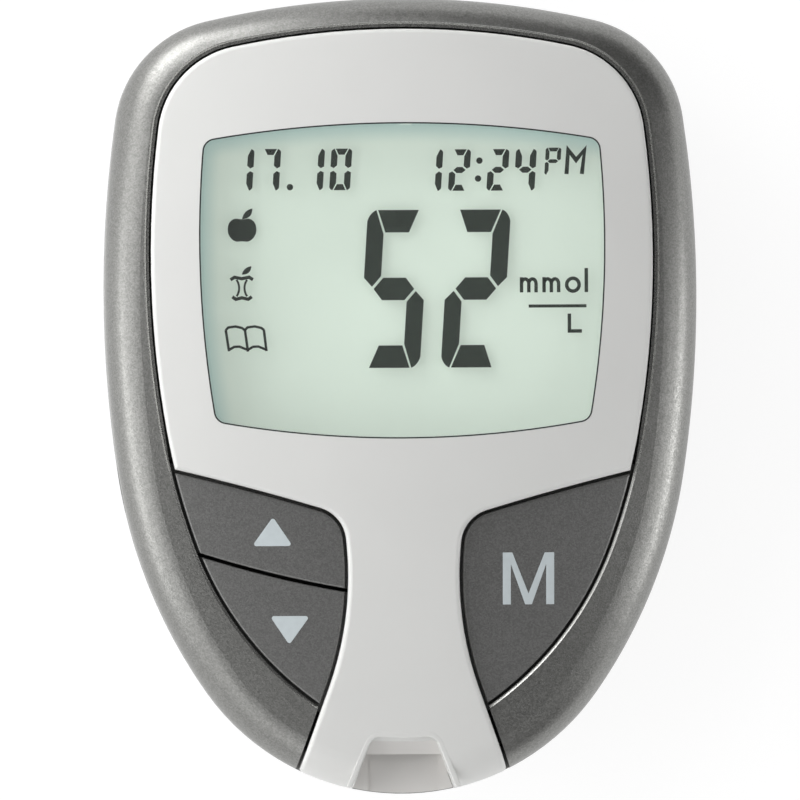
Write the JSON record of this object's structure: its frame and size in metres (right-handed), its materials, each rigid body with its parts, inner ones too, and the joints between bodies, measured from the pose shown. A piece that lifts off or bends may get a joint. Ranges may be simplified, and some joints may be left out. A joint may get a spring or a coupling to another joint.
{
  "type": "blood glucose meter",
  "caption": "Hand-held blood glucose meter with a display window, press keys, a test strip port in its nose and a sliding battery cover on its back.",
  "frame": {"origin": "centre of the bounding box at the flat of the back", "axes": "+X to the user's right, +Y to the top end away from the strip port, +Z out of the display"},
  "size_m": [0.0572, 0.0768, 0.0229],
  "materials": {
    "front_shell": "white satin ABS",
    "rim_paint": "metallic grey paint on ABS",
    "lens_clear": "clear polished acrylic",
    "key_grey": "dark grey satin",
    "frame_black": "black",
    "gasket_foam": "foam",
    "display_glass": "clear",
    "reflector": "pale green film",
    "holder_white": "white",
    "silicone": "silicone rubber",
    "board_green": "solder mask",
    "chip_black": "moulded epoxy",
    "bright_metal": "plain",
    "contact_gold": "gold plated",
    "cell_steel": "nickel plated can",
    "guide_grey": "pale grey satin ABS",
    "rear_grey": "dark grey textured ABS"
  },
  "bodies": {
    "case": {"front_cover": "front_shell", "rim_frame": "rim_paint", "display_lens": "lens_clear", "lens_gasket": "gasket_foam", "inner_frame": "frame_black", "lcd_front_glass": "display_glass", "lcd_rear_glass": "display_glass", "lcd_reflector": "reflector", "lcd_holder": "holder_white", "zebra_strip": "silicone", "main_board": "board_green", "processor_chip": "chip_black", "sensor_chip": "chip_black", "clock_crystal": "bright_metal", "board_passives": "chip_black", "buzzer": "chip_black", "strip_guide": "guide_grey", "strip_connector": "frame_black", "strip_contacts": "contact_gold", "rear_cover": "rear_grey", "coin_cell_left": "cell_steel", "coin_cell_right": "cell_steel", "positive_clips": "contact_gold", "negative_springs": "contact_gold", "data_jack": "chip_black", "case_screws": "bright_metal", "up_dome": "silicone", "down_dome": "silicone", "memory_dome": "silicone"},
    "up_key": {"up_key": "key_grey"},
    "down_key": {"down_key": "key_grey"},
    "memory_key": {"memory_key": "key_grey"},
    "battery_cover": {"battery_cover": "rear_grey"}
  },
  "joints": [
    {"name": "up_key_press", "type": "slide", "parent": "case", "child": "up_key", "axis": [0, 0, -1], "range_m": [0, 0.0005], "stiffness_N_per_m": 300, "springref_m": -0.002, "deforming": ["up_dome"]},
    {"name": "down_key_press", "type": "slide", "parent": "case", "child": "down_key", "axis": [0, 0, -1], "range_m": [0, 0.0005], "stiffness_N_per_m": 300, "springref_m": -0.002, "deforming": ["down_dome"]},
    {"name": "memory_key_press", "type": "slide", "parent": "case", "child": "memory_key", "axis": [0, 0, -1], "range_m": [0, 0.0005], "stiffness_N_per_m": 300, "springref_m": -0.002, "deforming": ["memory_dome"]},
    {"name": "battery_cover_slide", "type": "slide", "parent": "case", "child": "battery_cover", "axis": [0, 1, 0], "range_m": [0, 0.04]}
  ]
}
